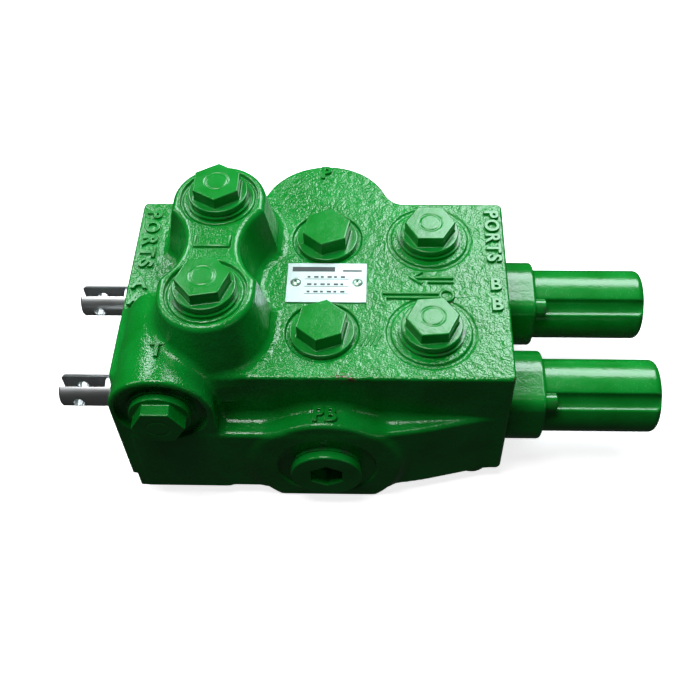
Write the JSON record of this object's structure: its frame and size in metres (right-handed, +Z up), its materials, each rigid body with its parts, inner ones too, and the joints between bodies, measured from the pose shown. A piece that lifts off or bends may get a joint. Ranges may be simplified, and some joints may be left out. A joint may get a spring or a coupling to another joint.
{
  "type": "hydraulic monoblock valve",
  "caption": "Cast directional control valve with parallel sliding spools, plugged work ports on raised bosses, spring caps at one end and forked spool ends at the other.",
  "frame": {"origin": "centre of the four mounting holes, on the face the valve is bolted down by", "axes": "+X along the spools towards the spring caps, +Y towards the supply port at the rear, +Z up from the mounting face"},
  "size_m": [0.334, 0.1778, 0.1386],
  "materials": {
    "casting_paint": "glossy enamel over a rough sand-cast skin",
    "plug_paint": "glossy enamel over machined steel",
    "cap_paint": "glossy enamel over turned aluminium",
    "washer_metal": "enamel over copper, thin at the edge",
    "seal_rubber": "satin",
    "bare_steel": "turned",
    "spring_steel": "oiled",
    "spool_steel": "ground and plated",
    "nameplate_metal": "brushed, printed",
    "rivet_metal": "satin"
  },
  "bodies": {
    "body": {"valve_body": "casting_paint", "port_plug_a_front": "plug_paint", "port_washer_a_front": "washer_metal", "port_plug_a_rear": "plug_paint", "port_washer_a_rear": "washer_metal", "port_plug_b_front": "plug_paint", "port_washer_b_front": "washer_metal", "port_plug_b_rear": "plug_paint", "port_washer_b_rear": "washer_metal", "tank_port_plug": "plug_paint", "tank_port_washer": "washer_metal", "power_beyond_plug": "plug_paint", "power_beyond_washer": "washer_metal", "load_check_plug_front": "plug_paint", "load_check_ring_front": "seal_rubber", "load_check_spring_front": "spring_steel", "wiper_front": "seal_rubber", "spool_ring_left_front": "seal_rubber", "spool_ring_right_front": "seal_rubber", "wiper_retainer_front": "bare_steel", "spring_seat_inner_front": "bare_steel", "centring_spring_inner_front": "spring_steel", "centring_spring_outer_front": "spring_steel", "spring_seat_outer_front": "bare_steel", "spring_cap_front": "cap_paint", "cap_ring_front": "seal_rubber", "load_check_plug_rear": "plug_paint", "load_check_ring_rear": "seal_rubber", "load_check_spring_rear": "spring_steel", "wiper_rear": "seal_rubber", "spool_ring_left_rear": "seal_rubber", "spool_ring_right_rear": "seal_rubber", "wiper_retainer_rear": "bare_steel", "spring_seat_inner_rear": "bare_steel", "centring_spring_inner_rear": "spring_steel", "centring_spring_outer_rear": "spring_steel", "spring_seat_outer_rear": "bare_steel", "spring_cap_rear": "cap_paint", "cap_ring_rear": "seal_rubber", "cap_screws": "plug_paint", "nameplate": "nameplate_metal", "nameplate_rivets": "rivet_metal"},
    "spool_front": {"spool_front": "spool_steel", "spring_collar_front": "bare_steel", "tail_bolt_front": "bare_steel"},
    "load_check_front": {"load_check_poppet_front": "bare_steel"},
    "spool_rear": {"spool_rear": "spool_steel", "spring_collar_rear": "bare_steel", "tail_bolt_rear": "bare_steel"},
    "load_check_rear": {"load_check_poppet_rear": "bare_steel"}
  },
  "joints": [
    {"name": "spool_front_slide", "type": "slide", "parent": "body", "child": "spool_front", "axis": [1, 0, 0], "range_m": [-0.008, 0.008], "stiffness_N_per_m": 9000, "deforming": ["centring_spring_inner_front", "centring_spring_outer_front"]},
    {"name": "spool_rear_slide", "type": "slide", "parent": "body", "child": "spool_rear", "axis": [1, 0, 0], "range_m": [-0.008, 0.008], "stiffness_N_per_m": 9000, "deforming": ["centring_spring_inner_rear", "centring_spring_outer_rear"]},
    {"name": "load_check_front_lift", "type": "slide", "parent": "body", "child": "load_check_front", "axis": [0, 0, 1], "range_m": [0, 0.004], "stiffness_N_per_m": 600, "springref_m": -0.004, "deforming": ["load_check_spring_front"]},
    {"name": "load_check_rear_lift", "type": "slide", "parent": "body", "child": "load_check_rear", "axis": [0, 0, 1], "range_m": [0, 0.004], "stiffness_N_per_m": 600, "springref_m": -0.004, "deforming": ["load_check_spring_rear"]}
  ]
}
